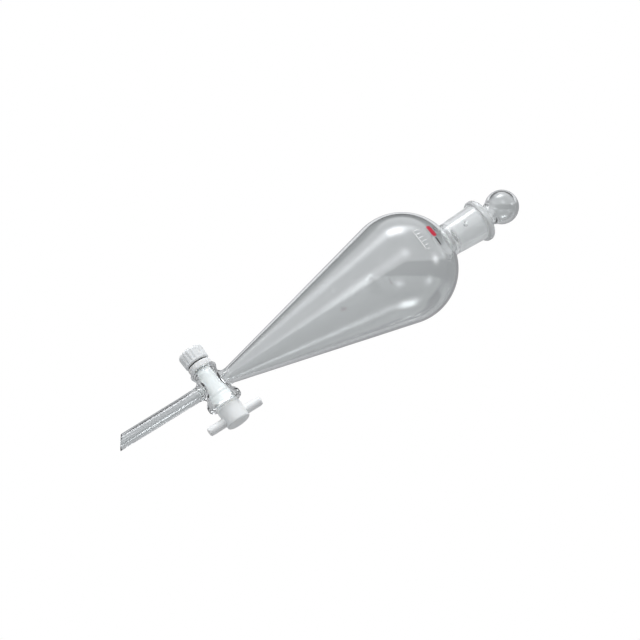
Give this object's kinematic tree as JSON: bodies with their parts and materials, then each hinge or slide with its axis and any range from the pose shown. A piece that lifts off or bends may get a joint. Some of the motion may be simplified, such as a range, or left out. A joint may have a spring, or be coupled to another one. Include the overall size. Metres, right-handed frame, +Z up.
{
  "type": "separatory funnel",
  "caption": "Pear-shaped glass separatory funnel with a ground socket, ball stopper, PTFE plug stopcock with T-handle and screwed tension nut, and a bevelled drain stem.",
  "frame": {"origin": "on the funnel's axis in the plane where a 50 mm support ring carries the cone", "axes": "+Z up the funnel's axis to the stopper, drain tip down; the stopcock barrel runs along X with the T-handle at +X and the tension nut at -X; the neck's vent hole faces -Y"},
  "size_m": [0.075, 0.075, 0.3187],
  "materials": {
    "clear_glass": "clear, fire-polished",
    "ground_glass": "frosted ground joint",
    "white_ptfe": "waxy white PTFE",
    "white_plastic": "satin moulded white",
    "black_rubber": "matt black"
  },
  "bodies": {
    "funnel": {"bulb": "clear_glass", "neck_socket": "ground_glass", "stopcock_barrel": "clear_glass", "stem": "clear_glass"},
    "stopper": {"stopper": "clear_glass"},
    "plug": {"stopcock_plug": "white_ptfe", "handle_bar": "white_plastic"},
    "washers": {"plug_washer": "white_ptfe", "o_ring": "black_rubber"},
    "nut": {"tension_nut": "white_plastic"}
  },
  "joints": [
    {"name": "stopper_lift", "type": "slide", "parent": "funnel", "child": "stopper", "axis": [0, 0, 1], "range_m": [0, 0.06]},
    {"name": "stopcock_turn", "type": "hinge", "parent": "funnel", "child": "plug", "pos_m": [0, 0, -0.0936], "axis": [1, 0, 0], "continuous": true},
    {"name": "nut_travel", "type": "slide", "parent": "plug", "child": "washers", "axis": [-1, 0, 0], "range_m": [0, 0.0045]},
    {"name": "nut_turn", "type": "hinge", "parent": "washers", "child": "nut", "pos_m": [-0.022, 0, -0.0936], "axis": [-1, 0, 0], "range_deg": [0, 1080]}
  ],
  "couplings": [
    {"joint": "nut_turn", "follows": "nut_travel", "rad_per_m": 4188.8}
  ]
}
